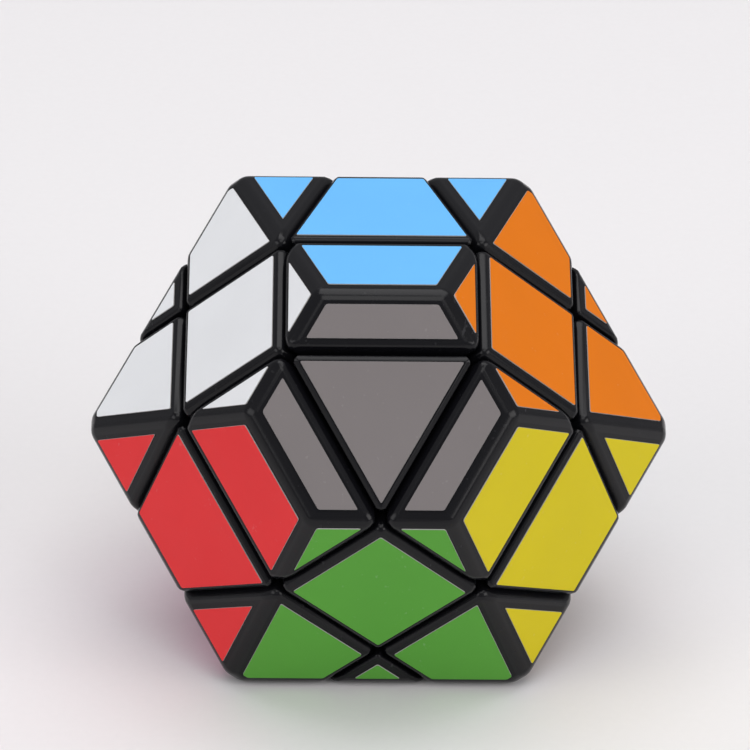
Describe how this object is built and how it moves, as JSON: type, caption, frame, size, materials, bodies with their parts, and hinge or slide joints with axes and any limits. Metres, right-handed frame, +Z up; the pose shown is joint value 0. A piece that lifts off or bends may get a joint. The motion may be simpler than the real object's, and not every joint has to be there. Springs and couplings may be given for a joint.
{
  "type": "twisty puzzle",
  "caption": "Faceted twisty puzzle, a hexagonal bipyramid with cut-off tips, whose centres, edges and corners turn in layers on a core with screws and springs.",
  "frame": {"origin": "on the resting face, straight below the centre of the core", "axes": "+Z up, square to the resting face; +X along the widest diameter, through two opposite waist points; -Y towards the side with the pale middle triangle"},
  "size_m": [0.0782, 0.0624, 0.057],
  "materials": {
    "shell_black": "satin black moulded ABS",
    "foot_black": "matt black moulded nylon",
    "core_plastic": "matt off-white moulded nylon",
    "steel": "zinc-plated steel",
    "sticker_blue": "satin coloured vinyl",
    "sticker_orange": "satin coloured vinyl",
    "sticker_yellow": "satin coloured vinyl",
    "sticker_green": "satin coloured vinyl",
    "sticker_red": "satin coloured vinyl",
    "sticker_grey": "satin coloured vinyl",
    "sticker_white": "satin coloured vinyl",
    "sticker_purple": "satin coloured vinyl",
    "sticker_pink": "satin coloured vinyl",
    "sticker_dark_blue": "satin coloured vinyl",
    "sticker_lime": "satin coloured vinyl",
    "sticker_cream": "satin coloured vinyl",
    "sticker_teal": "satin coloured vinyl",
    "sticker_brown": "satin coloured vinyl"
  },
  "bodies": {
    "core_and_middle_slice": {"core": "core_plastic", "edge_nx_nz": "shell_black", "edge_nx_pz": "shell_black", "edge_px_nz": "shell_black", "edge_px_pz": "shell_black", "screw_px": "steel", "washer_px": "steel", "spring_px": "steel", "screw_nx": "steel", "washer_nx": "steel", "spring_nx": "steel", "screw_py": "steel", "washer_py": "steel", "spring_py": "steel", "screw_ny": "steel", "washer_ny": "steel", "spring_ny": "steel", "screw_pz": "steel", "washer_pz": "steel", "spring_pz": "steel", "screw_nz": "steel", "washer_nz": "steel", "spring_nz": "steel"},
    "py_layer": {"edge_nx_py": "shell_black", "edge_py_nz": "shell_black", "edge_py_pz": "shell_black", "edge_px_py": "shell_black", "corner_shell_nx_py_nz": "shell_black", "corner_foot_nx_py_nz": "foot_black", "corner_shell_nx_py_pz": "shell_black", "corner_foot_nx_py_pz": "foot_black", "corner_shell_px_py_nz": "shell_black", "corner_foot_px_py_nz": "foot_black", "corner_shell_px_py_pz": "shell_black", "corner_foot_px_py_pz": "foot_black"},
    "ny_layer": {"edge_nx_ny": "shell_black", "edge_ny_nz": "shell_black", "edge_ny_pz": "shell_black", "edge_px_ny": "shell_black", "corner_shell_nx_ny_nz": "shell_black", "corner_foot_nx_ny_nz": "foot_black", "corner_shell_nx_ny_pz": "shell_black", "corner_foot_nx_ny_pz": "foot_black", "corner_shell_px_ny_nz": "shell_black", "corner_foot_px_ny_nz": "foot_black", "corner_shell_px_ny_pz": "shell_black", "corner_foot_px_ny_pz": "foot_black"},
    "centre_px": {"centre_hub_px": "foot_black", "centre_cap_px": "shell_black"},
    "centre_nx": {"centre_hub_nx": "foot_black", "centre_cap_nx": "shell_black"},
    "centre_py": {"centre_hub_py": "foot_black", "centre_cap_py": "shell_black"},
    "centre_ny": {"centre_hub_ny": "foot_black", "centre_cap_ny": "shell_black"},
    "centre_pz": {"centre_hub_pz": "foot_black", "centre_cap_pz": "shell_black"},
    "centre_nz": {"centre_hub_nz": "foot_black", "centre_cap_nz": "shell_black"}
  },
  "joints": [
    {"name": "turn_py_layer", "type": "hinge", "parent": "core_and_middle_slice", "child": "py_layer", "pos_m": [0, 0, 0.0285], "axis": [0.7071, -0.2357, 0.6667], "continuous": true},
    {"name": "turn_ny_layer", "type": "hinge", "parent": "core_and_middle_slice", "child": "ny_layer", "pos_m": [0, 0, 0.0285], "axis": [-0.7071, 0.2357, -0.6667], "continuous": true},
    {"name": "lift_centre_px", "type": "slide", "parent": "core_and_middle_slice", "child": "centre_px", "axis": [0, -0.9428, -0.3333], "range_m": [0, 0.0006], "stiffness_N_per_m": 800, "deforming": ["spring_px"]},
    {"name": "lift_centre_nx", "type": "slide", "parent": "core_and_middle_slice", "child": "centre_nx", "axis": [0, 0.9428, 0.3333], "range_m": [0, 0.0006], "stiffness_N_per_m": 800, "deforming": ["spring_nx"]},
    {"name": "lift_centre_py", "type": "slide", "parent": "py_layer", "child": "centre_py", "axis": [0.7071, -0.2357, 0.6667], "range_m": [0, 0.0006], "stiffness_N_per_m": 800, "deforming": ["spring_py"]},
    {"name": "lift_centre_ny", "type": "slide", "parent": "ny_layer", "child": "centre_ny", "axis": [-0.7071, 0.2357, -0.6667], "range_m": [0, 0.0006], "stiffness_N_per_m": 800, "deforming": ["spring_ny"]},
    {"name": "lift_centre_pz", "type": "slide", "parent": "core_and_middle_slice", "child": "centre_pz", "axis": [-0.7071, -0.2357, 0.6667], "range_m": [0, 0.0006], "stiffness_N_per_m": 800, "deforming": ["spring_pz"]},
    {"name": "lift_centre_nz", "type": "slide", "parent": "core_and_middle_slice", "child": "centre_nz", "axis": [0.7071, 0.2357, -0.6667], "range_m": [0, 0.0006], "stiffness_N_per_m": 800, "deforming": ["spring_nz"]}
  ]
}
